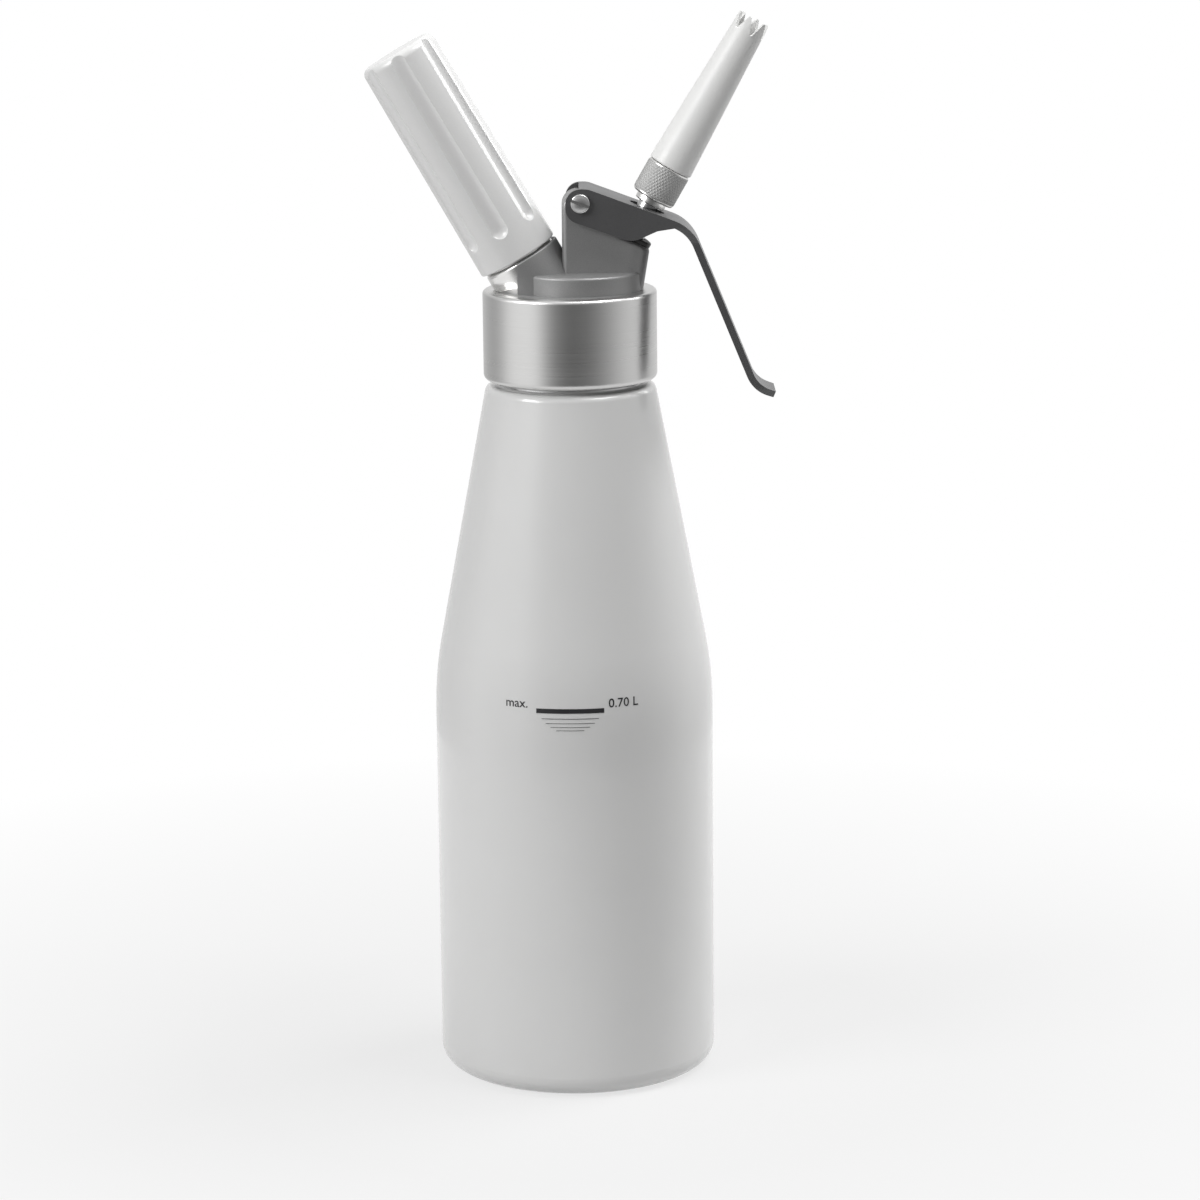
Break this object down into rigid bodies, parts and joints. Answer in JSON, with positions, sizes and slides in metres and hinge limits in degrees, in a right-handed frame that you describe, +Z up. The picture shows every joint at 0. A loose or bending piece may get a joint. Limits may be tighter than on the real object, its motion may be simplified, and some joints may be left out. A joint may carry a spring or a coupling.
{
  "type": "whipped cream dispenser",
  "caption": "Hand-held dispenser that charges cream with gas: pressure bottle, screw-on head with squeeze lever, gas charger holder and star nozzle.",
  "frame": {"origin": "centre of the bottle's foot, on the surface the bottle stands on", "axes": "+Z up along the bottle; +X towards the nozzle and the lever's handle; +Y away from the side with the fill mark"},
  "size_m": [0.1279, 0.089, 0.3399],
  "materials": {
    "white_lacquer": "gloss lacquer on thin metal",
    "clear_rubber": "pale food grade rubber",
    "brushed_metal": "turned and brushed round the axis",
    "cast_aluminium": "fine matte casting",
    "turned_metal": "bright turned metal",
    "steel": "plain turned steel",
    "black_rubber": "black rubber",
    "filter_bronze": "sintered bronze",
    "charger_steel": "drawn steel",
    "white_plastic": "semi gloss moulding",
    "black_plastic": "black moulding",
    "nozzle_plastic": "satin moulding",
    "lever_metal": "dark satin coating on pressed metal"
  },
  "bodies": {
    "bottle": {"bottle": "white_lacquer"},
    "head_gasket": {"head_gasket": "clear_rubber"},
    "head": {"head_casting": "cast_aluminium", "threaded_collar": "brushed_metal", "charger_socket": "turned_metal", "piercing_pin": "steel", "charger_seal": "black_rubber", "gas_filter": "filter_bronze", "check_valve": "black_rubber", "gland_nut": "black_plastic", "valve_spring": "steel", "lever_pin": "steel", "lever_pin_nut": "steel"},
    "gas_charger": {"gas_charger": "charger_steel"},
    "charger_holder": {"charger_holder": "white_plastic"},
    "lever": {"lever": "lever_metal"},
    "valve": {"valve_stem": "steel", "stem_seal": "black_rubber", "valve_gasket": "black_rubber", "valve_nut": "steel", "thrust_washer": "turned_metal", "knurled_adaptor": "turned_metal"},
    "nozzle_seal": {"nozzle_seal": "black_rubber"},
    "nozzle": {"star_nozzle": "nozzle_plastic"}
  },
  "joints": [
    {"name": "head_lift", "type": "slide", "parent": "bottle", "child": "head_gasket", "axis": [0, 0, 1], "range_m": [0, 0.009]},
    {"name": "head_turn", "type": "hinge", "parent": "head_gasket", "child": "head", "pos_m": [0, 0, 0.246], "axis": [0, 0, 1], "range_deg": [0, 1080]},
    {"name": "charger_lift", "type": "slide", "parent": "head", "child": "gas_charger", "axis": [-0.5, 0, 0.866], "range_m": [0, 0.008]},
    {"name": "holder_turn", "type": "hinge", "parent": "gas_charger", "child": "charger_holder", "pos_m": [0, 0, 0.236], "axis": [-0.5, 0, 0.866], "range_deg": [0, 1440]},
    {"name": "lever_squeeze", "type": "hinge", "parent": "head", "child": "lever", "pos_m": [0.0036, 0, 0.2814], "axis": [0, 1, 0], "range_deg": [0, 10], "stiffness_Nm_per_rad": 3.7, "springref_deg": -2.86},
    {"name": "valve_press", "type": "slide", "parent": "head", "child": "valve", "axis": [-0.5, 0, -0.866], "range_m": [0, 0.00246], "deforming": ["valve_spring"]},
    {"name": "nozzle_lift", "type": "slide", "parent": "valve", "child": "nozzle_seal", "axis": [0.5, 0, 0.866], "range_m": [0, 0.006]},
    {"name": "nozzle_turn", "type": "hinge", "parent": "nozzle_seal", "child": "nozzle", "pos_m": [0, 0, 0.236], "axis": [0.5, 0, 0.866], "range_deg": [0, 1080]}
  ],
  "couplings": [
    {"joint": "head_turn", "follows": "head_lift", "rad_per_m": 2094.4},
    {"joint": "holder_turn", "follows": "charger_lift", "rad_per_m": 3141.6},
    {"joint": "lever_squeeze", "follows": "valve_press", "rad_per_m": 70.9},
    {"joint": "nozzle_turn", "follows": "nozzle_lift", "rad_per_m": 3141.6}
  ]
}
